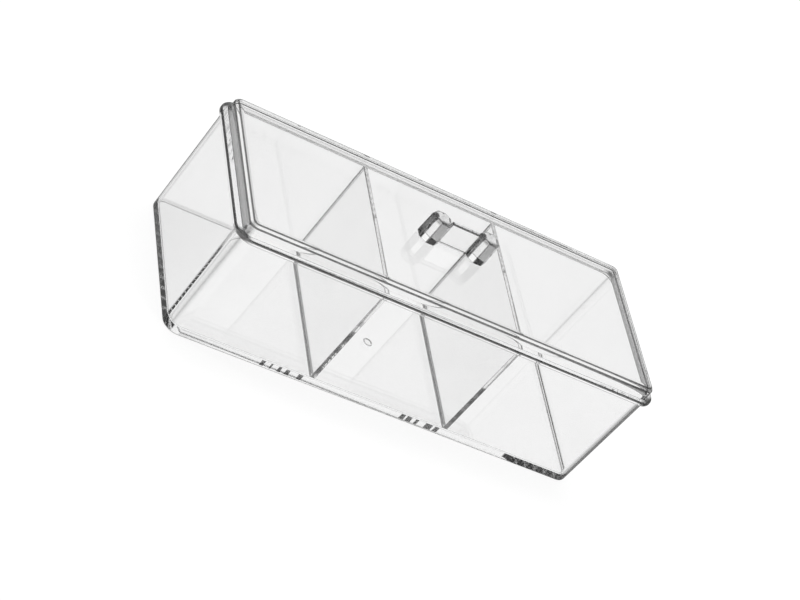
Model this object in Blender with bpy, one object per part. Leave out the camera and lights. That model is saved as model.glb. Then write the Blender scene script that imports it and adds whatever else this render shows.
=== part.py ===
"""Clear three-compartment makeup organizer with a lift-off lid and a pinch grip.

Metres, +Z up. The origin is on the resting plane, under the middle of the tray.
X runs along the row of compartments and -Y is the front.
"""

import math

import bmesh
import bpy
from mathutils import Matrix

# Tray: outer size at the floor, walls that lean out a little towards the rim
TRAY_LENGTH = 0.2400
TRAY_DEPTH = 0.0928
WALL = 0.0030
FLOOR = 0.0030
WALL_LEAN = 0.0009
CORNER_RADIUS = 0.0078
FLOOR_FILLET = 0.0034
FOOT_RADIUS = 0.0010

# Rim of the tray: a flange round the outside and a shallow recess that the lid sits in
FLANGE_BOTTOM = 0.0653
FLANGE_THICKNESS = 0.0027
FLANGE_REACH = 0.0019
FLANGE_EDGE_RADIUS = 0.0004
RECESS_DEPTH = 0.0012

# Dividers between the compartments
DIVIDER_THICKNESS = 0.0026
COMPARTMENTS = 3

# Lid: a shallow cap, hollow underneath
LID_LENGTH = 0.2376
LID_DEPTH = 0.0921
LID_HEIGHT = 0.00745
LID_WALL = 0.0020
LID_PLATE = 0.0024
LID_LEAN = 0.0003
LID_CORNER = 0.0045
LID_INNER_FILLET = 0.0020
LID_EDGE_RADIUS = 0.0005

# Pinch grip: two eight-sided posts and the plate between them
POST_WIDTH = 0.0112
POST_TAPER = 0.0006
POST_HEIGHT = 0.0138
POST_SPACING = 0.0284
POST_EDGE = 0.0010
WEB_THICKNESS = 0.0026
WEB_DROP = 0.0005
WEB_EDGE = 0.0004

# Clearances and modelling steps
SEAT_GAP = 0.0003
OVERRUN = 0.0100
CORNER_STEPS = 8
FILLET_STEPS = 4
EDGE_STEPS = 2
POST_SIDES = 8

# Places that follow from the sizes above
RIM_TOP = FLANGE_BOTTOM + FLANGE_THICKNESS
SEAT_LEVEL = RIM_TOP - RECESS_DEPTH
RIM_LENGTH = TRAY_LENGTH + 2 * (WALL_LEAN + FLANGE_REACH)
RIM_DEPTH = TRAY_DEPTH + 2 * (WALL_LEAN + FLANGE_REACH)
LID_BOTTOM = SEAT_LEVEL + SEAT_GAP
LID_TOP = LID_BOTTOM + LID_HEIGHT
GRIP_BASE = LID_TOP + SEAT_GAP


def clear_scene():
    """Take every object out of the file that the script runs in."""
    for item in list(bpy.data.objects):
        bpy.data.objects.remove(item, do_unlink=True)


def new_collection(name):
    """Make a collection in the scene."""
    group = bpy.data.collections.new(name)
    bpy.context.scene.collection.children.link(group)
    return group


def clear_plastic(name, tone, roughness):
    """Make a clear moulded plastic in a pale neutral tone."""
    material = bpy.data.materials.new(name)
    material.use_nodes = True
    shader = material.node_tree.nodes["Principled BSDF"]
    shader.inputs["Base Color"].default_value = (tone, tone, tone, 1)
    shader.inputs["Roughness"].default_value = roughness
    shader.inputs["Metallic"].default_value = 0
    shader.inputs["IOR"].default_value = 1.49
    shader.inputs["Transmission Weight"].default_value = 1
    return material


def add_object(name, mesh, group):
    """Put a mesh in a collection as an object at the origin."""
    item = bpy.data.objects.new(name, mesh)
    group.objects.link(item)
    return item


def rounded_block(length, depth, bottom, top, corner, lean=0, low_radius=0, high_radius=0,
                  low_steps=FILLET_STEPS, high_steps=EDGE_STEPS):
    """Make a block with rounded upright corners and rounded lower or upper edges.

    length and depth are the size at the bottom; lean is how far each side moves out by the top.
    """
    mesh = bpy.data.meshes.new("block")
    shape = bmesh.new()
    bmesh.ops.create_cube(shape, size=1)
    for corner_point in shape.verts:
        high = corner_point.co.z > 0
        spread = 2 * lean if high else 0
        corner_point.co.x *= length + spread
        corner_point.co.y *= depth + spread
        corner_point.co.z = top if high else bottom
    upright = [edge for edge in shape.edges
               if abs(edge.verts[0].co.z - edge.verts[1].co.z) > (top - bottom) / 2]
    if corner > 0:
        bmesh.ops.bevel(shape, geom=upright, offset=corner, segments=CORNER_STEPS, profile=0.5,
                        affect="EDGES")
    for radius, steps, normal_sign in ((low_radius, low_steps, -1), (high_radius, high_steps, 1)):
        if radius > 0:
            caps = [face for face in shape.faces if face.normal.z * normal_sign > 0.9]
            rim = {edge for face in caps for edge in face.edges}
            bmesh.ops.bevel(shape, geom=list(rim), offset=radius, segments=steps, profile=0.5,
                            affect="EDGES")
    bmesh.ops.recalc_face_normals(shape, faces=shape.faces[:])
    shape.to_mesh(mesh)
    shape.free()
    return mesh


def combine(base, other, operation):
    """Add an exact Boolean of another object to base."""
    step = base.modifiers.new(operation.title(), "BOOLEAN")
    step.operation = operation
    step.solver = "EXACT"
    step.object = other
    other.hide_render = True
    other.display_type = "WIRE"


def finish(item, material):
    """Give an object its material and smooth shading over its round stretches."""
    item.data.materials.clear()
    item.data.materials.append(material)
    item.data.shade_smooth()
    item.data.set_sharp_from_angle(angle=math.radians(30))


def lean_at(height):
    """How far the leaning wall has moved out at a height over the resting plane."""
    return WALL_LEAN * height / FLANGE_BOTTOM


def cavity_mesh(gap, top):
    """The inside of the tray walls, drawn in by a gap, from the floor up to a height."""
    bottom = FLOOR + gap
    inset = 2 * (WALL + gap - lean_at(bottom))
    return rounded_block(TRAY_LENGTH - inset, TRAY_DEPTH - inset, bottom, top,
                         CORNER_RADIUS - WALL - gap, lean=lean_at(top) - lean_at(bottom),
                         low_radius=FLOOR_FILLET - gap)


def build_tray(parts, cutters, material):
    """The open tray: leaning walls, floor, flange and lid recess, in one moulding."""
    middle = FLANGE_BOTTOM + FLANGE_THICKNESS / 2
    tray = add_object("tray", rounded_block(TRAY_LENGTH, TRAY_DEPTH, 0, middle, CORNER_RADIUS,
                                            lean=lean_at(middle), low_radius=FOOT_RADIUS,
                                            low_steps=EDGE_STEPS), parts)
    flange = add_object("flange_block", rounded_block(RIM_LENGTH, RIM_DEPTH, FLANGE_BOTTOM, RIM_TOP,
                                                      CORNER_RADIUS + FLANGE_REACH,
                                                      low_radius=FLANGE_EDGE_RADIUS,
                                                      low_steps=EDGE_STEPS,
                                                      high_radius=FLANGE_EDGE_RADIUS), cutters)
    recess = add_object("recess_block", rounded_block(LID_LENGTH + 2 * SEAT_GAP,
                                                      LID_DEPTH + 2 * SEAT_GAP,
                                                      SEAT_LEVEL, RIM_TOP + OVERRUN,
                                                      LID_CORNER + SEAT_GAP), cutters)
    cavity = add_object("cavity_block", cavity_mesh(0, RIM_TOP + OVERRUN), cutters)
    combine(tray, flange, "UNION")
    combine(tray, recess, "DIFFERENCE")
    combine(tray, cavity, "DIFFERENCE")
    finish(tray, material)


def build_dividers(parts, cutters, material):
    """Upright plates that share the tray into equal compartments."""
    room = TRAY_LENGTH - 2 * WALL
    clear_width = (room - (COMPARTMENTS - 1) * DIVIDER_THICKNESS) / COMPARTMENTS
    pitch = clear_width + DIVIDER_THICKNESS
    for index in range(COMPARTMENTS - 1):
        centre = pitch * (index + 1 - COMPARTMENTS / 2)
        side = "left" if centre < 0 else "right"
        divider = add_object("divider_" + side, cavity_mesh(SEAT_GAP, SEAT_LEVEL), parts)
        slab = rounded_block(DIVIDER_THICKNESS, TRAY_DEPTH, FLOOR - OVERRUN,
                             SEAT_LEVEL + OVERRUN, 0)
        slab.transform(Matrix.Translation((centre, 0, 0)))
        combine(divider, add_object("slab_" + side, slab, cutters), "INTERSECT")
        finish(divider, material)


def build_lid(parts, cutters, material):
    """The lift-off lid: a shallow cap, hollow underneath, that narrows slightly upwards."""
    lid = add_object("lid", rounded_block(LID_LENGTH, LID_DEPTH, LID_BOTTOM, LID_TOP, LID_CORNER,
                                          lean=-LID_LEAN, high_radius=LID_EDGE_RADIUS), parts)
    hollow = add_object("lid_hollow", rounded_block(LID_LENGTH - 2 * LID_WALL,
                                                    LID_DEPTH - 2 * LID_WALL,
                                                    LID_BOTTOM - OVERRUN, LID_TOP - LID_PLATE,
                                                    LID_CORNER - LID_WALL,
                                                    high_radius=LID_INNER_FILLET,
                                                    high_steps=FILLET_STEPS), cutters)
    combine(lid, hollow, "DIFFERENCE")
    finish(lid, material)


def post_mesh():
    """An eight-sided post with its flats square to X and Y, a little slimmer at the top."""
    mesh = bpy.data.meshes.new("post")
    shape = bmesh.new()
    flat_to_point = 1 / math.cos(math.pi / POST_SIDES)
    bmesh.ops.create_cone(shape, cap_ends=True, segments=POST_SIDES,
                          radius1=POST_WIDTH / 2 * flat_to_point,
                          radius2=(POST_WIDTH - POST_TAPER) / 2 * flat_to_point,
                          depth=POST_HEIGHT)
    bmesh.ops.rotate(shape, verts=shape.verts[:],
                     matrix=Matrix.Rotation(math.pi / POST_SIDES, 3, "Z"))
    caps = [face for face in shape.faces if face.normal.z > 0.9]
    bmesh.ops.bevel(shape, geom=[edge for face in caps for edge in face.edges],
                    offset=POST_EDGE, segments=EDGE_STEPS, profile=0.5, affect="EDGES")
    bmesh.ops.translate(shape, verts=shape.verts[:], vec=(0, 0, GRIP_BASE + POST_HEIGHT / 2))
    shape.to_mesh(mesh)
    shape.free()
    return mesh


def build_grip(parts, material):
    """Two posts on the lid and the plate that stands between them."""
    for side, sign in (("left", -1), ("right", 1)):
        mesh = post_mesh()
        mesh.transform(Matrix.Translation((sign * POST_SPACING / 2, 0, 0)))
        finish(add_object("grip_post_" + side, mesh, parts), material)
    span = POST_SPACING - POST_WIDTH - 2 * SEAT_GAP
    web = rounded_block(span, WEB_THICKNESS, GRIP_BASE, GRIP_BASE + POST_HEIGHT - WEB_DROP,
                        WEB_EDGE, high_radius=WEB_EDGE / 2)
    finish(add_object("grip_web", web, parts), material)


def main():
    """Build the organizer."""
    clear_scene()
    parts = new_collection("makeup_organizer")
    cutters = new_collection("cutters")
    build_tray(parts, cutters, clear_plastic("tray_clear", 0.92, 0.03))
    build_dividers(parts, cutters, clear_plastic("divider_clear", 0.92, 0.03))
    build_lid(parts, cutters, clear_plastic("lid_clear", 0.93, 0.03))
    build_grip(parts, clear_plastic("grip_clear", 0.94, 0.02))


main()
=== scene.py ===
"""Clear makeup organizer with three compartments, a lift-off lid and a pinch grip.

The moulded pieces are built round the packed solids, in metres and in the same frame:
X along the row of compartments, -Y the front and +Z up.
"""
import math

import bpy
from mathutils import Matrix, Vector


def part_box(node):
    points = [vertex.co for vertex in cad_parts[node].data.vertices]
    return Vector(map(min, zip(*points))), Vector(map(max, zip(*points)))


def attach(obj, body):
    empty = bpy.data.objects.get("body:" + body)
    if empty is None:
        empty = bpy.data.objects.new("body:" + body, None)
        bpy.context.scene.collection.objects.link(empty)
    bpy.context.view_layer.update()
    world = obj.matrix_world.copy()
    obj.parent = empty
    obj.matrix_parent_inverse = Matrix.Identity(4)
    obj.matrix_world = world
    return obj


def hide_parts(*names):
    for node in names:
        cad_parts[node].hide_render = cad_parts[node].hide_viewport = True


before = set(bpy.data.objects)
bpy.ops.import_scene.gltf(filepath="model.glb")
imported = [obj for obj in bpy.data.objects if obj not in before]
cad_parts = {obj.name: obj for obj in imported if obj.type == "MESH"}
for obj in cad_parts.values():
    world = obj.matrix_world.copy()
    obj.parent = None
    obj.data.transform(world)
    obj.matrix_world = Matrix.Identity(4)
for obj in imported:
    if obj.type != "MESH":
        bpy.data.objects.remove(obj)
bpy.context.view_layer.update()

bl_info = {
    "name": "Clear Makeup Organizer",
    "version": (1, 0, 0),
    "blender": (4, 5, 0),
    "location": "View3D > Sidebar > Organizer",
    "description": "Builds a clear moulded box with dividers, a loose lid and a pinch grip",
    "category": "Add Mesh",
}

TRAY_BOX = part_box("tray")
LID_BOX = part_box("lid")
WEB_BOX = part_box("grip_web")


class TraySizes(bpy.types.PropertyGroup):
    """Sizes of the tray and of the dividers in it."""

    length: bpy.props.FloatProperty(
        name="Length at the Floor", description="Outer length of the tray where it stands",
        default=0.2400, unit="LENGTH")
    depth: bpy.props.FloatProperty(
        name="Depth at the Floor", description="Outer depth of the tray where it stands",
        default=0.0928, unit="LENGTH")
    wall: bpy.props.FloatProperty(
        name="Wall", description="Thickness of the tray walls", default=0.0030, unit="LENGTH")
    floor: bpy.props.FloatProperty(
        name="Floor", description="Thickness of the tray floor", default=0.0030, unit="LENGTH")
    lean: bpy.props.FloatProperty(
        name="Lean", description="How far each wall has moved out by the flange",
        default=0.0009, unit="LENGTH")
    corner: bpy.props.FloatProperty(
        name="Corner", description="Radius of the upright corners", default=0.0078, unit="LENGTH")
    fillet: bpy.props.FloatProperty(
        name="Floor Fillet", description="Radius between the walls and the floor inside",
        default=0.0018, unit="LENGTH")
    foot: bpy.props.FloatProperty(
        name="Foot Radius", description="Radius of the lower outer edge",
        default=0.0010, unit="LENGTH")
    flange_bottom: bpy.props.FloatProperty(
        name="Flange Underside", description="Height of the underside of the flange",
        default=0.0653, unit="LENGTH")
    flange_corner: bpy.props.FloatProperty(
        name="Flange Corner", description="Radius of the corners of the flange",
        default=0.0097, unit="LENGTH")
    recess: bpy.props.FloatProperty(
        name="Recess", description="Depth of the recess that the lid sits in",
        default=0.0012, unit="LENGTH")
    gate: bpy.props.FloatProperty(
        name="Gate Mark", description="Radius of the round mark left in the middle of the floor",
        default=0.0027, unit="LENGTH")
    edge: bpy.props.FloatProperty(
        name="Edge Radius", description="Radius of the flange edges", default=0.0010, unit="LENGTH")


class LidSizes(bpy.types.PropertyGroup):
    """Sizes of the lid and of the grip on it."""

    wall: bpy.props.FloatProperty(
        name="Rim Wall", description="Thickness of the lid's side walls",
        default=0.0020, unit="LENGTH")
    plate: bpy.props.FloatProperty(
        name="Plate", description="Thickness of the lid's top plate", default=0.0024, unit="LENGTH")
    lean: bpy.props.FloatProperty(
        name="Lean", description="How far each side moves in by the top",
        default=0.0003, unit="LENGTH")
    corner: bpy.props.FloatProperty(
        name="Corner", description="Radius of the upright corners", default=0.0045, unit="LENGTH")
    fillet: bpy.props.FloatProperty(
        name="Inner Fillet", description="Radius inside, under the top plate",
        default=0.0030, unit="LENGTH")
    edge: bpy.props.FloatProperty(
        name="Top Chamfer", description="Width of the chamfer round the top plate",
        default=0.0015, unit="LENGTH")
    post_edge: bpy.props.FloatProperty(
        name="Post Edge", description="Radius of the upright edges of the grip posts",
        default=0.0005, unit="LENGTH")
    post_crown: bpy.props.FloatProperty(
        name="Post Crown", description="Radius round the tops of the grip posts",
        default=0.0022, unit="LENGTH")


class Finish(bpy.types.PropertyGroup):
    """Look of the clear plastic."""

    tone: bpy.props.FloatVectorProperty(
        name="Tone", description="Colour of light after one wall", subtype="COLOR",
        default=(0.965, 0.965, 0.965), min=0, max=1)
    # Painted shade: the dividers' copy of the plastic has a darker tone than the walls' copy,
    # though it is the same plastic.
    shaded_divider_tone: bpy.props.FloatVectorProperty(
        name="Divider Tone", description="Colour of light after one divider", subtype="COLOR",
        default=(0.93, 0.93, 0.93), min=0, max=1)
    # Strength of the painted shade on rounded edges, standing in for the light the clear plastic
    # bends away there.
    painted_edge_shade_depth: bpy.props.FloatProperty(
        name="Edge Depth", description="How much darker the rounded edges look", default=0.97,
        subtype="FACTOR")
    # Share of the painted shade given to the turned-away sides of round upright corners.
    painted_rim_shade_depth: bpy.props.FloatProperty(
        name="Rim Depth", description="How much of that depth the sides of upright corners have",
        default=1.0, subtype="FACTOR")
    ior: bpy.props.FloatProperty(
        name="Refraction", description="Index of refraction of the plastic", default=1.53)
    gloss: bpy.props.FloatProperty(
        name="Polish Roughness", description="Roughness of the polished faces",
        default=0.004, subtype="FACTOR")


class StageLook(bpy.types.PropertyGroup):
    """Floor, lamps and camera."""

    floor_tone: bpy.props.FloatVectorProperty(
        name="Floor", description="Colour of the floor", subtype="COLOR",
        default=(0.95, 0.95, 0.95), min=0, max=1)
    shadow_share: bpy.props.FloatProperty(
        name="Shadow Share", description="How much of the floor's tone comes from the lamps",
        default=0.12, subtype="FACTOR")
    flag_depth: bpy.props.FloatProperty(
        name="Flag Depth", description="How dark the flags beside the organizer are", default=0.25,
        subtype="FACTOR")
    lens: bpy.props.FloatProperty(
        name="Lens", description="Focal length of the camera in millimetres", default=98.71)


CLASSES_OF_SIZES = {"organizer_tray": TraySizes, "organizer_lid": LidSizes,
                    "organizer_finish": Finish, "organizer_stage": StageLook}

# Point attributes of each moulding: how much painted shade darkens it, standing in for the light
# the clear plastic bends away at edges and corners, and where an upright corner is round.
PAINTED_EDGE_SHADE = "painted_edge_shade"
ROUND_PART = "round_part"
# How the painted shade of an upright corner gathers in the middle of its arc.
EVEN, SOFT, THIN = 1, 2, 60

CORNER_STEPS = 14
EDGE_STEPS = 4
FILLET_STEPS = 8

ROW_TREE = "organizer_row"
# Gap between two pieces, and the radii of the edges that are nearly sharp.
CLEARANCE = 0.0003
FINE_EDGE = 0.0003
SHARP = 0.0002
POST_TAPER = 0.0003
GRIP_WEB_EDGE = 0.0008
LID_CHAMFER_EDGE = 0.0013
# Painted shade on the lid's upright end walls in X.
LID_END_PAINTED_SHADE = 0.55
# A ring belongs to an upright wall when its outward share is above this, and its corners are
# round ones when their radius is.
UPRIGHT = 0.9
ROUND_CORNER = 0.002
# Easing of a divider's edges and width of the band of painted shade beside them: everywhere, and
# added below.
EASE, EASE_BELOW = 0.0002, 0.0003
SHADE_BAND, SHADE_BAND_BELOW = 0.0001, 0.0017
# Rise of the gate mark's sole, dish and rim over the floor.
GATE_RISES = (0.00002, 0.0002, 0.0005)

TRAY_MIDDLE = (0, 0, 0.034)
LID_MIDDLE = (0, 0, 0.072)
GRIP_MIDDLE = (0, 0, 0.082)
ALONG_X = (0.35, 1, 1)
UPWARD = (1, 1, 0.35)
PLAIN = (1, 1, 1)

# The clear plastic: waves to the metre, and how far each mark changes the tone.
HAZE_WAVES, HAZE_SHARE = 38, 0.03
STREAK_WAVES, STREAK_SHARE = 55, 0.02
SPECK_CELLS, SPECK_SIZE, SPECK_SHARE = 70, 1 / 45, 0.55
SPECK_PATCH_WAVES, SPECK_PATCH_LEVEL = 23, 0.71
SCRATCH_WAVES, SCRATCH_LEVEL = 900, 0.62
SINK_WAVES = 16
# Facing levels over which painted shade rises on the turned-away sides of round upright corners.
RIM_SHADE_START, RIM_SHADE_FULL = 0.36, 0.56
# Gain of the painted edge shade.
PAINTED_SHADE_GAIN = 1.5

# Painted checks of shade beside the dividers, in the front foot and up their front edges, standing
# in for the broken dark and clear bands that refraction makes there.
CHECK_REACH = 0.026
CHECK_GAP = 0.003
CHECK_LOW, CHECK_HIGH = 0.0014, 0.0048
FOOT_CHECK_WAVES, FOOT_CHECK_LEVEL = 300, 0.49
EDGE_CHECK_WAVES, EDGE_CHECK_LEVEL = 210, 0.53

# The room: heights and slants of a direction, each the start and the end of a smooth change.
CEILING = (0.06, 0.12)
WINDOW_SLANT, WINDOW_FOOT, WINDOW_HEAD = (0.78, 0.90), (0.40, 0.46), (0.58, 0.66)
FLAG_SLANT, FLAG_HEAD, FLAG_FOOT = (0.46, 0.60), (-0.42, -0.36), (-0.80, -0.72)
DARKEST = 0.97
BOUNCES = 48

FLOOR_HALF = 6
FLOOR_HEIGHT = -0.0002
LAMP_AIM = Vector((0, 0, 0.04))
# Name, place, size and watts of each lamp.
LAMPS = (("top_softbox", (0.10, 0.35, 1.55), (0.9, 0.5), 14),
         ("left_softbox", (-1.5, 0.3, 0.9), (0.3, 1.0), 8),
         ("front_softbox", (0.9, -1.3, 1.0), (0.3, 0.9), 8))
CAMERA_PLACE = Vector((-0.52253, -0.76410, 0.59034))
CAMERA_FORWARD = Vector((0.48275, 0.70787, -0.51564))
CAMERA_RIGHT = Vector((0.80885, -0.13467, 0.57239))


class Field:
    """A socket of a shader tree that takes part in sums."""

    def __init__(self, tree, socket):
        self.tree = tree
        self.socket = socket

    def math(self, operation, *others):
        """Add one Math node that works on this value and others."""
        return node(self.tree, "ShaderNodeMath", {"operation": operation}, [self, *others])

    def __add__(self, other):
        return self.math("ADD", other)

    def __sub__(self, other):
        return self.math("SUBTRACT", other)

    def __mul__(self, other):
        return self.math("MULTIPLY", other)

    def __truediv__(self, other):
        return self.math("DIVIDE", other)

    def __radd__(self, other):
        return self.math("ADD", other)

    def __rsub__(self, other):
        return node(self.tree, "ShaderNodeMath", {"operation": "SUBTRACT"}, [other, self])

    def __rmul__(self, other):
        return self.math("MULTIPLY", other)

    def above(self, level):
        """One where this value is greater than a level, and nought elsewhere."""
        return self.math("GREATER_THAN", level)


def node(tree, kind, settings, inputs, output=0):
    """Add a node with its settings, and the values or links of its sockets by place or by name."""
    made = tree.nodes.new(kind)
    for name, value in settings.items():
        setattr(made, name, value)
    pairs = inputs.items() if isinstance(inputs, dict) else enumerate(inputs)
    for key, value in pairs:
        if isinstance(value, Field):
            tree.links.new(value.socket, made.inputs[key])
        elif value is not None:
            made.inputs[key].default_value = value
    return None if output is None else Field(tree, made.outputs[output])


def object_point(tree, centre, scale):
    """Object coordinates, scaled and then moved back by a piece's middle."""
    coordinates = node(tree, "ShaderNodeTexCoord", {}, {}, "Object")
    return node(tree, "ShaderNodeMapping", {"vector_type": "POINT"},
                {"Vector": coordinates, "Location": [-place for place in centre], "Scale": scale})


def noise(tree, point, scale, detail):
    """Noise between nought and one at a number of waves to the metre."""
    return node(tree, "ShaderNodeTexNoise", {"noise_dimensions": "3D"},
                {"Vector": point, "Scale": scale, "Detail": detail})


def axes_of(tree, vector):
    """The three parts of a vector."""
    parts = node(tree, "ShaderNodeSeparateXYZ", {}, [vector]).socket.node
    return [Field(tree, parts.outputs[axis]) for axis in "XYZ"]


def rays_of(tree, *kinds):
    """One for each kind of ray that is asked for, and nought for the others."""
    path = tree.nodes.new("ShaderNodeLightPath")
    return [Field(tree, path.outputs["Is " + kind + " Ray"]) for kind in kinds]


def ramp(tree, value, start, end):
    """A smooth rise from nought to one between two levels."""
    return node(tree, "ShaderNodeMapRange", {"interpolation_type": "SMOOTHSTEP"},
                {"Value": value, "From Min": start, "From Max": end, "To Min": 0.0, "To Max": 1.0})


def attribute(tree, name):
    """A point attribute of the mesh as a value."""
    return node(tree, "ShaderNodeAttribute", {"attribute_name": name}, {}, "Fac")


def clear_plastic(name, look, tone, centre, flow, painted_checks=None):
    """Clear moulded plastic: flow marks, haze, fine scratches, a few specks, and painted shade on
    its edges and grazing corners for the light the plastic bends away.
    """
    material = bpy.data.materials.new(name)
    material.use_nodes = True
    tree = material.node_tree
    shader = tree.nodes["Principled BSDF"]
    point = object_point(tree, centre, PLAIN)
    drawn = object_point(tree, centre, flow)

    haze = noise(tree, point, HAZE_WAVES, 4)
    streaks = noise(tree, drawn, STREAK_WAVES, 2)
    cells = node(tree, "ShaderNodeTexVoronoi", {"feature": "F1"},
                 {"Vector": point, "Scale": SPECK_CELLS})
    patches = noise(tree, point, SPECK_PATCH_WAVES, 1).above(SPECK_PATCH_LEVEL)
    specks = (1 - cells / SPECK_SIZE).math("MAXIMUM", 0) * patches
    marked = (1 - (haze - 0.5) * HAZE_SHARE - (streaks - 0.5) * STREAK_SHARE
              - specks * SPECK_SHARE)

    # Painted shade on the turned-away sides of round upright corners, standing in for light the
    # plastic bends away at grazing angles.
    round_part = attribute(tree, ROUND_PART)
    turned_away = node(tree, "ShaderNodeLayerWeight", {}, {"Blend": 0.5}, "Facing")
    rim = ramp(tree, turned_away, RIM_SHADE_START, RIM_SHADE_FULL) * round_part * look.painted_rim_shade_depth
    # Painted checks of shade, where a piece has them, join the painted corner shade.
    if painted_checks is not None:
        rim = rim.math("MAXIMUM", painted_checks(tree, round_part))
    # Painted edge shade from the attribute, at least as deep as the painted shade on turned-away
    # corners, darkens the base colour.
    painted_darkening = (attribute(tree, PAINTED_EDGE_SHADE) * PAINTED_SHADE_GAIN).math("MAXIMUM", rim).math("MINIMUM", 1)
    shade = marked * (1 - painted_darkening * look.painted_edge_shade_depth)
    colour = node(tree, "ShaderNodeVectorMath", {"operation": "SCALE"},
                  {"Vector": tone, "Scale": shade})
    tree.links.new(colour.socket, shader.inputs["Base Color"])

    scratches = noise(tree, object_point(tree, centre, (1, 9, 1)), SCRATCH_WAVES, 2)
    rub = (scratches - SCRATCH_LEVEL).math("MAXIMUM", 0) * 0.03
    rough = look.gloss + haze * 0.006 + rub
    tree.links.new(rough.socket, shader.inputs["Roughness"])

    sink = noise(tree, drawn, SINK_WAVES, 1)
    bump = node(tree, "ShaderNodeBump", {}, {"Strength": 0.06, "Distance": 0.001,
                                             "Height": sink + scratches * 0.004}, "Normal")
    tree.links.new(bump.socket, shader.inputs["Normal"])
    shader.inputs["IOR"].default_value = look.ior
    shader.inputs["Transmission Weight"].default_value = 1
    shader.inputs["Metallic"].default_value = 0
    return material


def painted_front_edge_checks(tree, round_part):
    """Painted checks of shade up the lower part of the dividers' front edges."""
    upward = object_point(tree, (0, 0, 0), (0.1, 0.1, 1))
    painted_checks = noise(tree, upward, EDGE_CHECK_WAVES, 0).above(EDGE_CHECK_LEVEL)
    return painted_checks * (round_part * 2).math("MINIMUM", 1)


def painted_foot_checks(tree, _round_part):
    """Painted checks of shade in the front foot, beside the foot of each divider."""
    along, back, height = axes_of(tree, object_point(tree, (0, 0, 0), PLAIN))
    low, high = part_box("divider_right")
    divider = (low.x + high.x) / 2
    sides = [(along - (side * divider - CHECK_REACH / 2 - CHECK_GAP)).math("ABSOLUTE")
             for side in (-1, 1)]
    beside = sum(distance.math("LESS_THAN", CHECK_REACH / 2) for distance in sides)
    front_wall = back.math("LESS_THAN", TRAY_BOX[0].y + 0.0050)
    band = height.math("LESS_THAN", CHECK_HIGH) * height.above(CHECK_LOW)
    sideways = object_point(tree, (0, 0, 0), (1, 0.1, 0.1))
    painted_checks = noise(tree, sideways, FOOT_CHECK_WAVES, 0).above(FOOT_CHECK_LEVEL)
    return painted_checks * beside * front_wall * band


def round_corners(corners, steps):
    """Walk along a section and round its corners.

    Each corner is (half length, half depth, plan radius, height, section radius, painted edge
    shade, painted corner shade). The painted edge shade is that of the rounding, and the painted
    corner shade, a value and how it gathers, that of the plan's corners there. The walk keeps the
    plastic on its left, seen with the half length to the right and the height up. Gives (half
    length, half depth, plan radius, height, outward share, upward share, painted edge shade,
    painted corner shade) for each ring.
    """
    stations = []
    for index, corner in enumerate(corners):
        here = Vector(corner[:4])
        radius = corner[4]
        before = Vector(corners[index - 1][:4]) if index > 0 else None
        after = Vector(corners[index + 1][:4]) if index + 1 < len(corners) else None
        way_in = flat_way(before, here) if before is not None else flat_way(here, after)
        way_out = flat_way(here, after) if after is not None else way_in
        if before is None or after is None or radius == 0:
            stations.append((*here, *outward(way_in), 0, corner[6]))
            continue
        turn = way_in.angle_signed(way_out)
        reach = radius * math.tan(abs(turn) / 2)
        back = (before - here) / plane_length(before, here)
        ahead = (after - here) / plane_length(here, after)
        for step in range(steps + 1):
            angle = abs(turn) * step / steps
            along_in = radius * math.sin(angle)
            across = radius * (1 - math.cos(angle))
            ahead_share = across / math.sin(abs(turn))
            back_share = reach - along_in + across / math.tan(abs(turn))
            place = here + back * back_share + ahead * ahead_share
            side = way_in.copy()
            side.rotate(Matrix.Rotation(-turn * step / steps, 2))
            painted_shade = corner[5] * min(1, 4 * arch(step, steps))
            stations.append((*place, *outward(side), painted_shade, corner[6]))
    return stations


def flat_way(start, end):
    """Unit direction in the section from one corner to the next."""
    return Vector((end[0] - start[0], end[3] - start[3])).normalized()


def plane_length(start, end):
    """Length in the section between two corners."""
    return math.hypot(end[0] - start[0], end[3] - start[3])


def outward(way):
    """The side that faces away from the plastic."""
    return (way.y, -way.x)


def arch(step, steps):
    """Nought at both ends of an arc and one in its middle."""
    return math.sin(math.pi * step / steps)


def rounded_rectangle(half_length, half_depth, radius, steps):
    """Points, outward directions and shares of each corner's arc round a rounded rectangle."""
    ring = []
    for quarter, (sign_x, sign_y) in enumerate(((1, 1), (-1, 1), (-1, -1), (1, -1))):
        for step in range(steps + 1):
            angle = math.pi / 2 * (quarter + step / steps)
            way = (math.cos(angle), math.sin(angle))
            ring.append((sign_x * (half_length - radius) + radius * way[0],
                         sign_y * (half_depth - radius) + radius * way[1], *way,
                         arch(step, steps)))
    return ring


def rounded_octagon(half_width, _half_depth, radius, steps):
    """The same round an eight-sided figure, where the flats square to X and Y count as arcs too."""
    ring = []
    reach = (half_width - radius) / math.cos(math.pi / 8)
    for side in range(8):
        middle = math.pi / 4 * (side + 0.5)
        for step in range(steps + 1):
            angle = middle + math.pi / 4 * (step / steps - 0.5)
            way = (math.cos(angle), math.sin(angle))
            on_square_flat = step == (0 if side % 2 == 0 else steps)
            share = 0.75 + 0.25 * abs(way[0]) if on_square_flat else arch(step, steps)
            ring.append((reach * math.cos(middle) + radius * way[0],
                         reach * math.sin(middle) + radius * way[1], *way, share))
    return ring


def round_disc(half_width, _half_depth, _radius, steps):
    """The same round a circle."""
    ring = []
    for step in range(4 * steps):
        angle = math.pi / 2 * step / steps
        way = (math.cos(angle), math.sin(angle))
        ring.append((half_width * way[0], half_width * way[1], *way, 0))
    return ring


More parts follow.
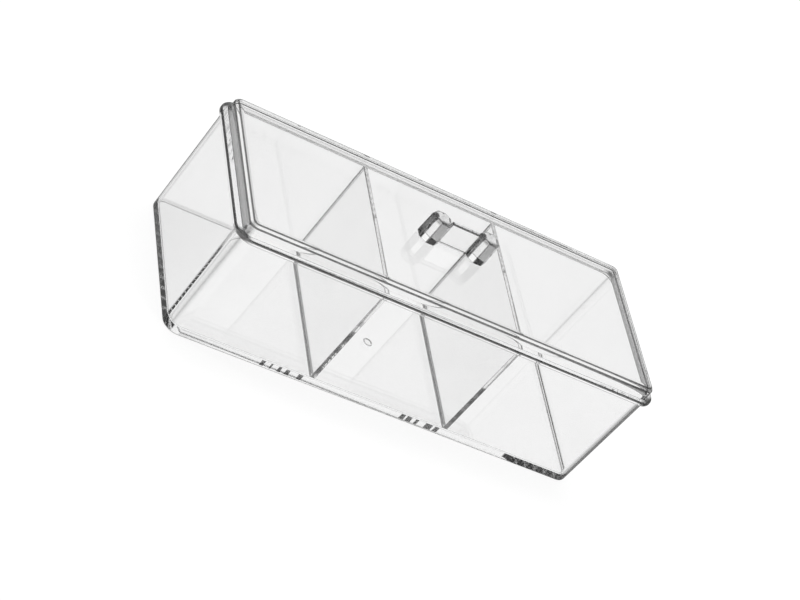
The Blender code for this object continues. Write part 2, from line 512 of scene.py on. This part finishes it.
def loft(name, stations, plan, steps, end_painted_shade=0):
    """Skin the rings of a section, with painted shade on its outer walls at both ends in X."""
    points, normals, painted_shades, rounds = [], [], [], []
    for half_length, half_depth, radius, height, out_share, up_share, painted_shade, corner in stations:
        corner_painted_shade, gathering = corner
        upright = out_share > UPRIGHT
        for x, y, way_x, way_y, arc in plan(half_length, half_depth, radius, steps):
            points.append((x, y, height))
            normals.append((way_x * out_share, way_y * out_share, up_share))
            # Painted shade on the upright end walls in X and on the arcs of the plan's corners.
            wall_painted_shade = end_painted_shade * way_x ** 4 if upright else 0
            painted_shades.append(max(painted_shade, corner_painted_shade * arc ** gathering, wall_painted_shade))
            rounds.append(min(1, 3 * arc) if upright and radius > ROUND_CORNER else 0)
    return moulding(name, points, normals, painted_shades, rounds, len(stations))


def moulding(name, points, normals, painted_shades, rounds, ring_count):
    """Join equal rings of points into a closed mesh with exact normals and both attributes."""
    size = len(points) // ring_count
    faces = []
    for low in range(0, size * (ring_count - 1), size):
        for column in range(size):
            ahead = (column + 1) % size
            faces.append((low + column, low + ahead, low + size + ahead, low + size + column))
    faces.append(tuple(reversed(range(size))))
    faces.append(tuple(range(size * (ring_count - 1), size * ring_count)))
    mesh = bpy.data.meshes.new(name)
    mesh.from_pydata(points, [], faces)
    mesh.validate()
    mesh.shade_smooth()
    mesh.normals_split_custom_set_from_vertices(normals)
    for key, values in ((PAINTED_EDGE_SHADE, painted_shades), (ROUND_PART, rounds)):
        mesh.attributes.new(key, "FLOAT", "POINT").data.foreach_set("value", values)
    item = bpy.data.objects.new(name, mesh)
    bpy.context.scene.collection.objects.link(item)
    return item


def tray_wall_at(sizes, height):
    """How far the leaning wall has moved out at a height."""
    return sizes.lean * height / sizes.flange_bottom


def tray_section(sizes):
    """Section of the tray from under its floor, up the outside, over the rim and down inside."""
    half_x, half_y, corner = sizes.length / 2, sizes.depth / 2, sizes.corner
    rim_x, rim_y = TRAY_BOX[1].x, TRAY_BOX[1].y
    top = TRAY_BOX[1].z
    seat = top - sizes.recess
    lean = sizes.lean
    lid_x, lid_y = LID_BOX[1].x + CLEARANCE, LID_BOX[1].y + CLEARANCE
    lid_corner = bpy.context.scene.organizer_lid.corner + CLEARANCE
    recess_edge = sizes.recess / 8
    in_top = tray_wall_at(sizes, seat) - sizes.wall
    in_low = tray_wall_at(sizes, sizes.floor) - sizes.wall
    under, inner = -2 * sizes.floor, in_low - sizes.fillet - 0.0008
    rim = (rim_x, rim_y, sizes.flange_corner)
    lid = (lid_x, lid_y, lid_corner)

    def wall(offset):
        return half_x + offset, half_y + offset, corner + offset

    # The last two values of each corner are its painted edge shade and painted corner shade.
    return round_corners([
        (*wall(under), 0, 0, 0, (0, SOFT)),
        (*wall(0), 0, sizes.foot, 0.1, (0.35, THIN)),
        (*wall(lean), sizes.flange_bottom, FINE_EDGE, 0, (0.45, THIN)),
        (*rim, sizes.flange_bottom, sizes.edge, 0.35, (0.7, EVEN)),
        (*rim, top, sizes.edge, 1, (0.9, EVEN)),
        (*lid, top, recess_edge, 0, (0.9, SOFT)),
        (*lid, seat, recess_edge, 0, (0.3, SOFT)),
        (*wall(in_top), seat, SHARP, 0, (0, SOFT)),
        (*wall(in_low), sizes.floor, sizes.fillet, 0.15, (0, SOFT)),
        (*wall(inner), sizes.floor, 0, 0, (0, SOFT)),
    ], FILLET_STEPS)


def lid_section(sizes):
    """Section of the lid from under its plate, down inside, round the rim and over the top."""
    half_x, half_y = LID_BOX[1].x, LID_BOX[1].y
    low, top = LID_BOX[0].z, LID_BOX[1].z
    ceiling = top - sizes.plate
    middle = sizes.wall + sizes.fillet + 0.0004

    def side(inset, corner=None):
        return half_x - inset, half_y - inset, sizes.corner - inset if corner is None else corner

    # The last two values of each corner are its painted edge shade and painted corner shade.
    return round_corners([
        (*side(middle, SHARP), ceiling, 0, 0, (0, SOFT)),
        (*side(sizes.wall), ceiling, sizes.fillet, 0, (0, SOFT)),
        (*side(sizes.wall), low, SHARP, 0, (0, SOFT)),
        (*side(0), low, SHARP, 0.3, (0.6, SOFT)),
        (*side(sizes.lean), top - sizes.edge, LID_CHAMFER_EDGE, 1, (0.5, SOFT)),
        (*side(sizes.lean + sizes.edge), top, LID_CHAMFER_EDGE, 1, (0.3, SOFT)),
        (*side(sizes.corner, 0.0006), top, 0, 0, (0, SOFT)),
    ], FILLET_STEPS)


def finish_piece(item, material, slot_name, body, *nodes):
    """Give a piece its material and its place among the packed solids."""
    item.data.materials.clear()
    item.data.materials.append(material)
    if nodes:
        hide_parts(*nodes)
    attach(item, body)


class ORGANIZER_OT_tray(bpy.types.Operator):
    """Build the open tray with its flange, recess and filleted floor"""

    bl_idname = "organizer.tray"
    bl_label = "Tray"

    def execute(self, context):
        scene = context.scene
        sizes = scene.organizer_tray
        tray = loft("tray_moulding", tray_section(sizes), rounded_rectangle, CORNER_STEPS)
        look = scene.organizer_finish
        material = clear_plastic("tray_plastic", look, look.tone, TRAY_MIDDLE, ALONG_X, painted_foot_checks)
        finish_piece(tray, material, "tray_clear", "base", "tray")
        gate = loft("gate_mark", gate_section(sizes), round_disc, CORNER_STEPS)
        finish_piece(gate, material, "tray_clear", "base")
        return {"FINISHED"}


def gate_section(sizes):
    """Section of the round mark on the floor: a low dish with a raised rim."""
    sole, dish, rim = (sizes.floor + rise for rise in GATE_RISES)
    core, gate = 0.0004, sizes.gate

    def at(radius):
        return radius, radius, radius

    # The last two values of each corner are its painted edge shade and painted corner shade.
    return round_corners([
        (*at(core), sole, 0, 0, (0, SOFT)),
        (*at(gate), sole, 0.0001, 0.4, (0, SOFT)),
        (*at(gate - 0.0002), rim, SHARP, 0.5, (0, SOFT)),
        (*at(gate - 0.0010), dish, SHARP, 0.3, (0, SOFT)),
        (*at(core), dish, 0, 0, (0, SOFT)),
    ], EDGE_STEPS)


class ORGANIZER_OT_dividers(bpy.types.Operator):
    """Build the two upright plates between the compartments"""

    bl_idname = "organizer.dividers"
    bl_label = "Dividers"

    def execute(self, context):
        scene = context.scene
        sizes = scene.organizer_tray
        look = scene.organizer_finish
        # The dividers take the darker, painted-shade copy of the plastic.
        material = clear_plastic("divider_plastic", look, look.shaded_divider_tone, TRAY_MIDDLE, UPWARD,
                                 painted_front_edge_checks)
        low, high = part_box("divider_left")
        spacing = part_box("divider_right")[0].x - low.x
        plates = row_of("divider_plates", divider_plate(sizes, low, high), 2, spacing, material)
        finish_piece(plates, material, "divider_clear", "base", "divider_left", "divider_right")
        return {"FINISHED"}


def divider_outline(sizes, low, high):
    """Points (y, z) and outward directions round a divider, inside the tray's walls and fillet."""
    inset = sizes.wall + CLEARANCE
    half_low = sizes.depth / 2 + tray_wall_at(sizes, low.z) - inset
    half_top = sizes.depth / 2 + tray_wall_at(sizes, high.z) - inset
    foot_radius, top_radius = sizes.fillet - CLEARANCE, 0.0005
    corners = [(half_low, low.z, foot_radius), (half_top, high.z, top_radius),
               (-half_top, high.z, top_radius), (-half_low, low.z, foot_radius)]
    outline = []
    for index, (y, z, radius) in enumerate(corners):
        here = Vector((y, z))
        before = Vector(corners[index - 1][:2])
        after = Vector(corners[(index + 1) % len(corners)][:2])
        way_in = (here - before).normalized()
        way_out = (after - here).normalized()
        turn = way_in.angle(way_out)
        side_in = Vector((way_in.y, -way_in.x))
        middle = here - side_in * radius - way_in * radius * math.tan(turn / 2)
        start = math.atan2(side_in.y, side_in.x)
        for step in range(FILLET_STEPS + 1):
            angle = start + turn * step / FILLET_STEPS
            way = Vector((math.cos(angle), math.sin(angle)))
            outline.append((middle + way * radius, way))
    return outline


def divider_plate(sizes, low, high):
    """An upright plate with eased edges, with painted shade where it stands and along its back."""
    outline = divider_outline(sizes, low, high)
    half_thick = (high.x - low.x) / 2
    eased = []
    for side in (-1, 1):
        for step in range(EDGE_STEPS + 1):
            turned = step / EDGE_STEPS if side < 0 else 1 - step / EDGE_STEPS
            eased.append((side, math.pi / 2 * turned, min(1, 2.5 * math.sin(math.pi * turned)), 0))
    # Each ring: side, turn round the eased edge, painted shade, and how far in on the band of
    # painted shade it lies.
    rings = [(-1, 0, 0, 1.05), (-1, 0, 1, 1), *eased, (1, 0, 1, 1), (1, 0, 0, 1.05)]
    points, normals, painted_shades, rounds = [], [], [], []
    for side, angle, share, inset in rings:
        outward_share, side_share = math.sin(angle), math.cos(angle)
        for place, way in outline:
            ease = EASE + EASE_BELOW * max(0, -way.y, way.x)
            band = SHADE_BAND + SHADE_BAND_BELOW * max(0, -way.y, 0.5 * way.x)
            spot = place - way * (ease * (1 - outward_share) + inset * band)
            points.append((side * (half_thick - ease * (1 - side_share)), spot.x, spot.y))
            normals.append((side * side_share, way.x * outward_share, way.y * outward_share))
            painted_shades.append(share * max(-way.y, way.x, 0.05))
            in_lower_half = place.y < sizes.flange_bottom / 2
            rounds.append(max(0, -way.x) * outward_share if in_lower_half else 0)
    return moulding("divider_pattern", points, normals, painted_shades, rounds, len(rings))


def row_tree():
    """Geometry nodes that set copies of a piece in a row along X, centred on the middle."""
    if ROW_TREE in bpy.data.node_groups:
        return bpy.data.node_groups[ROW_TREE]
    tree = bpy.data.node_groups.new(ROW_TREE, "GeometryNodeTree")
    for name, kind in (("Geometry", "Geometry"), ("Count", "Int"), ("Spacing", "Float"),
                       ("Material", "Material")):
        tree.interface.new_socket(name, in_out="INPUT", socket_type="NodeSocket" + kind)
    tree.interface.new_socket("Geometry", in_out="OUTPUT", socket_type="NodeSocketGeometry")
    entry = tree.nodes.new("NodeGroupInput")
    piece, count, spacing, material = (Field(tree, entry.outputs[name])
                                       for name in ("Geometry", "Count", "Spacing", "Material"))
    start = node(tree, "ShaderNodeCombineXYZ", {}, [(1 - count) * spacing / 2])
    offset = node(tree, "ShaderNodeCombineXYZ", {}, [spacing])
    line = node(tree, "GeometryNodeMeshLine", {"mode": "OFFSET"},
                {"Count": count, "Start Location": start, "Offset": offset})
    copies = node(tree, "GeometryNodeInstanceOnPoints", {}, {"Points": line, "Instance": piece})
    real = node(tree, "GeometryNodeRealizeInstances", {}, {"Geometry": copies})
    dressed = node(tree, "GeometryNodeSetMaterial", {}, {"Geometry": real, "Material": material})
    node(tree, "NodeGroupOutput", {}, {"Geometry": dressed}, None)
    return tree


def row_of(name, pattern, count, spacing, material):
    """Turn a row of copies of a pattern into one plain mesh, and take the pattern away."""
    tree = row_tree()
    values = {"Count": count, "Spacing": spacing, "Material": material}
    modifier = pattern.modifiers.new("row", "NODES")
    modifier.node_group = tree
    for socket in tree.interface.items_tree:
        if socket.in_out == "INPUT" and socket.name in values:
            modifier[socket.identifier] = values[socket.name]
    graph = bpy.context.evaluated_depsgraph_get()
    mesh = bpy.data.meshes.new_from_object(pattern.evaluated_get(graph))
    mesh.name = name
    bpy.data.objects.remove(pattern)
    item = bpy.data.objects.new(name, mesh)
    bpy.context.scene.collection.objects.link(item)
    return item


class ORGANIZER_OT_lid(bpy.types.Operator):
    """Build the shallow lid, hollow underneath"""

    bl_idname = "organizer.lid"
    bl_label = "Lid"

    def execute(self, context):
        scene = context.scene
        lid = loft("lid_moulding", lid_section(scene.organizer_lid), rounded_rectangle,
                   CORNER_STEPS, end_painted_shade=LID_END_PAINTED_SHADE)
        look = scene.organizer_finish
        material = clear_plastic("lid_plastic", look, look.tone, LID_MIDDLE, ALONG_X)
        finish_piece(lid, material, "lid_clear", "lid", "lid")
        return {"FINISHED"}


class ORGANIZER_OT_grip(bpy.types.Operator):
    """Build the pinch grip of two eight-sided posts and the web between them"""

    bl_idname = "organizer.grip"
    bl_label = "Pinch Grip"

    def execute(self, context):
        scene = context.scene
        sizes = scene.organizer_lid
        look = scene.organizer_finish
        material = clear_plastic("grip_plastic", look, look.tone, GRIP_MIDDLE, PLAIN)
        low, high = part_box("grip_post_left")
        post = loft("post_pattern", post_section(sizes, low, high), rounded_octagon, EDGE_STEPS)
        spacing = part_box("grip_post_right")[0].x - low.x
        posts = row_of("grip_posts", post, 2, spacing, material)
        finish_piece(posts, material, "grip_clear", "lid", "grip_post_left", "grip_post_right")
        web = loft("grip_web_moulding", web_section(*WEB_BOX), rounded_rectangle, EDGE_STEPS)
        finish_piece(web, material, "grip_clear", "lid", "grip_web")
        return {"FINISHED"}


def post_section(sizes, low, high):
    """Section of one post from under its foot, up the side and over its crown."""
    base = (high.x - low.x) / 2
    tip = base - POST_TAPER
    edge = sizes.post_edge
    # The last two values of each corner are its painted edge shade and painted corner shade.
    return round_corners([
        (base - 0.0012, base, edge, low.z, 0, 0, (0, SOFT)),
        (base, base, edge, low.z, SHARP, 0.3, (0.7, SOFT)),
        (tip, tip, edge, high.z, sizes.post_crown, 0.45, (0.8, SOFT)),
        (tip - 0.0026, tip, edge, high.z, 0, 0, (0, SOFT)),
    ], EDGE_STEPS)


def web_section(low, high):
    """Section of the web from under its foot, up the side and over its top."""
    half_x, half_y, edge = high.x, high.y, GRIP_WEB_EDGE
    # The last two values of each corner are its painted edge shade and painted corner shade.
    return round_corners([
        (half_x - edge, half_y - edge, 0.0001, low.z, 0, 0, (0, SOFT)),
        (half_x, half_y, edge / 2, low.z, FINE_EDGE, 1, (0, SOFT)),
        (half_x, half_y, edge, high.z, edge, 1, (0, SOFT)),
        (half_x - 0.0009, half_y - 0.0009, 0.0001, high.z, 0, 0.3, (0, SOFT)),
    ], EDGE_STEPS)


class ORGANIZER_OT_stage(bpy.types.Operator):
    """Build the white floor, the lamps, the room and the camera"""

    bl_idname = "organizer.stage"
    bl_label = "Stage"

    def execute(self, context):
        scene = context.scene
        look = scene.organizer_stage
        build_floor(look)
        build_room(scene, look)
        for lamp in LAMPS:
            add_lamp(*lamp)
        build_camera(scene, look)
        scene.view_settings.view_transform = "Standard"
        scene.cycles.max_bounces = BOUNCES
        scene.cycles.transmission_bounces = BOUNCES
        scene.cycles.glossy_bounces = BOUNCES
        return {"FINISHED"}


def build_floor(look):
    """A plain pale floor that keeps a faint shadow."""
    mesh = bpy.data.meshes.new("floor")
    corners = [(x * FLOOR_HALF, y * FLOOR_HALF, FLOOR_HEIGHT)
               for x, y in ((-1, -1), (1, -1), (1, 1), (-1, 1))]
    mesh.from_pydata(corners, [], [(0, 1, 2, 3)])
    floor = bpy.data.objects.new("floor", mesh)
    bpy.context.scene.collection.objects.link(floor)
    material = bpy.data.materials.new("floor_white")
    material.use_nodes = True
    tree = material.node_tree
    tree.nodes.clear()
    lit = node(tree, "ShaderNodeBsdfDiffuse", {}, {"Color": (*look.floor_tone, 1)})
    white = node(tree, "ShaderNodeEmission", {}, {"Color": (1, 1, 1, 1), "Strength": 1.0})
    camera, glossy, through = rays_of(tree, "Camera", "Glossy", "Transmission")
    seen = camera.math("MAXIMUM", glossy).math("MAXIMUM", through)
    mixed = node(tree, "ShaderNodeMixShader", {}, [seen * (1 - look.shadow_share), lit, white])
    output = tree.nodes.new("ShaderNodeOutputMaterial")
    tree.links.new(mixed.socket, output.inputs["Surface"])
    mesh.materials.append(material)
    floor.visible_glossy = False
    floor.visible_transmission = False


def build_room(scene, look):
    """The studio: white where the camera sees it, and dark overhead for light from the plastic.

    A light window in the dark part, over the front left and the rear right, keeps the foot light,
    and faint dark flags stand in front, behind and at both ends. Mirrored rays see a softer room.
    """
    world = bpy.data.worlds.new("room")
    scene.world = world
    world.use_nodes = True
    tree = world.node_tree
    tree.nodes.clear()
    across, along, height = axes_of(tree, node(tree, "ShaderNodeTexCoord", {}, {}, "Generated"))
    flat = (across * across + along * along).math("MAXIMUM", 0.0001)
    slant = 2 * across * along / flat
    ceiling = ramp(tree, height, *CEILING)
    window = (ramp(tree, slant, *WINDOW_SLANT) * (1 - ramp(tree, height, *WINDOW_HEAD))
              * ramp(tree, height, *WINDOW_FOOT))
    sides = 1 - ramp(tree, slant.math("ABSOLUTE"), *FLAG_SLANT)
    band = (1 - ramp(tree, height, *FLAG_HEAD)) * ramp(tree, height, *FLAG_FOOT)
    camera, mirror = rays_of(tree, "Camera", "Reflection")
    dark = (ceiling * (1 - window) + sides * band * look.flag_depth).math("MINIMUM", 1)
    through = 1 - dark * DARKEST
    mirrored = 0.5 + 0.4 * ceiling - 0.5 * window
    tone = (mirrored * mirror + through * (1 - mirror)).math("MAXIMUM", camera)
    white = node(tree, "ShaderNodeBackground", {}, {"Color": (1, 1, 1, 1), "Strength": tone})
    output = tree.nodes.new("ShaderNodeOutputWorld")
    tree.links.new(white.socket, output.inputs["Surface"])


def add_lamp(name, place, size, watts):
    """A soft rectangular lamp that points at the organizer."""
    light = bpy.data.lights.new(name, "AREA")
    light.shape = "RECTANGLE"
    light.size, light.size_y = size
    light.energy = watts
    lamp = bpy.data.objects.new(name, light)
    lamp.location = place
    lamp.rotation_euler = (LAMP_AIM - Vector(place)).to_track_quat("-Z", "Y").to_euler()
    lamp.visible_camera = False
    lamp.visible_glossy = False
    lamp.visible_transmission = False
    bpy.context.scene.collection.objects.link(lamp)


def build_camera(scene, look):
    """The photograph's viewpoint, turned about its own line of sight."""
    data = bpy.data.cameras.new("camera")
    data.sensor_width = 36
    data.lens = look.lens
    data.clip_start, data.clip_end = 0.01, 50
    camera = bpy.data.objects.new("camera", data)
    forward = CAMERA_FORWARD.normalized()
    right = (CAMERA_RIGHT - forward * CAMERA_RIGHT.dot(forward)).normalized()
    up = right.cross(forward)
    turn = Matrix((right, up, -forward)).transposed()
    camera.matrix_world = Matrix.Translation(CAMERA_PLACE) @ turn.to_4x4()
    scene.collection.objects.link(camera)
    scene.camera = camera


class ORGANIZER_PT_panel(bpy.types.Panel):
    """Lists the organizer's pieces and their sizes"""

    bl_label = "Makeup Organizer"
    bl_idname = "ORGANIZER_PT_panel"
    bl_space_type = "VIEW_3D"
    bl_region_type = "UI"
    bl_category = "Organizer"

    def draw(self, context):
        layout = self.layout
        for operator in OPERATORS:
            layout.operator(operator.bl_idname)
        for name, group in CLASSES_OF_SIZES.items():
            box = layout.box()
            box.label(text=group.__doc__)
            for size in group.__annotations__:
                box.prop(getattr(context.scene, name), size)


OPERATORS = (ORGANIZER_OT_stage, ORGANIZER_OT_tray, ORGANIZER_OT_dividers, ORGANIZER_OT_lid,
             ORGANIZER_OT_grip)


def register():
    """Make the classes and the scene's groups of sizes known."""
    for group in (*CLASSES_OF_SIZES.values(), *OPERATORS, ORGANIZER_PT_panel):
        bpy.utils.register_class(group)
    for name, group in CLASSES_OF_SIZES.items():
        setattr(bpy.types.Scene, name, bpy.props.PointerProperty(type=group))


def unregister():
    """Take them away again."""
    for name in CLASSES_OF_SIZES:
        delattr(bpy.types.Scene, name)
    for group in reversed((*CLASSES_OF_SIZES.values(), *OPERATORS, ORGANIZER_PT_panel)):
        bpy.utils.unregister_class(group)


def main():
    """Build the organizer and its stage."""
    register()
    bpy.ops.organizer.stage()
    bpy.ops.organizer.tray()
    bpy.ops.organizer.dividers()
    bpy.ops.organizer.lid()
    bpy.ops.organizer.grip()


if __name__ == "__main__":
    main()
